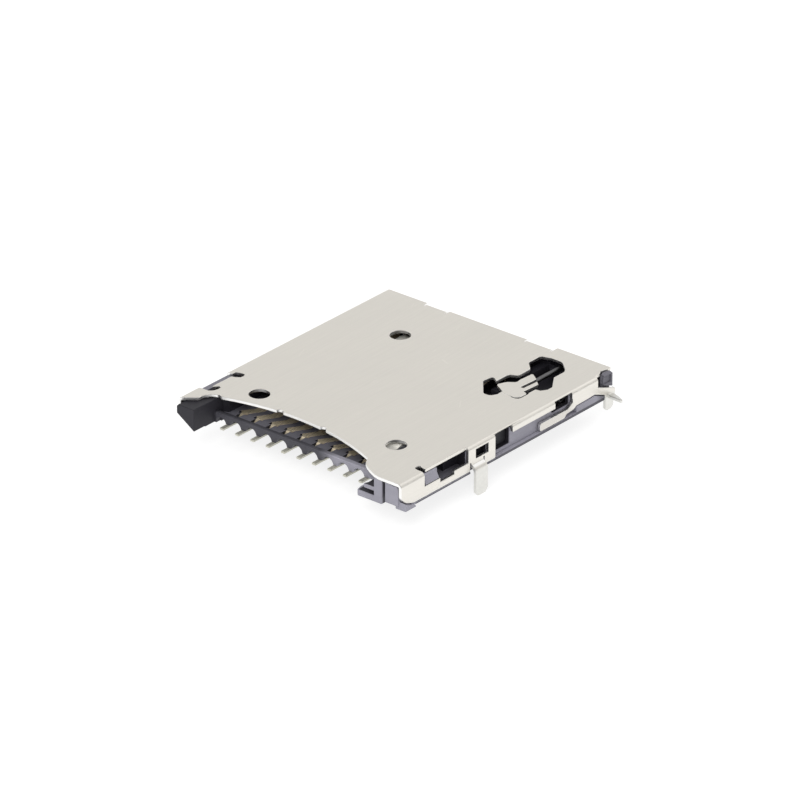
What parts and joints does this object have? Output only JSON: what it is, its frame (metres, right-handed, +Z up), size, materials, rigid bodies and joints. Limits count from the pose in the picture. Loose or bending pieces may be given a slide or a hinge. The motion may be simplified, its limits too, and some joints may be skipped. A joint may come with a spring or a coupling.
{
  "type": "micro SD card socket",
  "caption": "Low flat spring-eject socket for a micro SD card: stamped steel shell over a moulded base, finger arc and solder tails at the card entrance, board legs at the sides",
  "frame": {"origin": "under the middle of the base, 8.0 mm in from the right skirt and 9.1 mm behind the front edge, on the board plane that the base's underside rests on", "axes": "+Z up from the board, +Y the way the card goes in, +X towards the side with the slider"},
  "size_m": [0.0183, 0.0185, 0.003],
  "materials": {
    "shell_steel": "satin",
    "base_plastic": "matte",
    "contact_alloy": "satin",
    "slider_plastic": "matte",
    "spring_steel": "satin"
  },
  "bodies": {
    "socket": {"shell": "shell_steel", "base_housing": "base_plastic", "signal_contact_1": "contact_alloy", "signal_contact_2": "contact_alloy", "signal_contact_3": "contact_alloy", "signal_contact_4": "contact_alloy", "signal_contact_5": "contact_alloy", "signal_contact_6": "contact_alloy", "signal_contact_7": "contact_alloy", "signal_contact_8": "contact_alloy", "detect_contact_fixed": "contact_alloy", "detect_contact_spring": "contact_alloy", "slider_spring": "spring_steel"},
    "slide": {"slider": "slider_plastic", "card_catch": "spring_steel"},
    "follower": {"cam_follower": "spring_steel"}
  },
  "joints": [
    {"name": "slider_travel", "type": "slide", "parent": "socket", "child": "slide", "axis": [0, 1, 0], "range_m": [0, 0.003], "stiffness_N_per_m": 150, "springref_m": -0.003, "deforming": ["slider_spring"]},
    {"name": "follower_swing", "type": "hinge", "parent": "socket", "child": "follower", "pos_m": [0.00505, 0.00848, 0.00112], "axis": [0, 0, 1], "range_deg": [0, 5.75]}
  ],
  "couplings": [
    {"joint": "follower_swing", "follows": "slider_travel", "rad_per_m": 33.333}
  ]
}
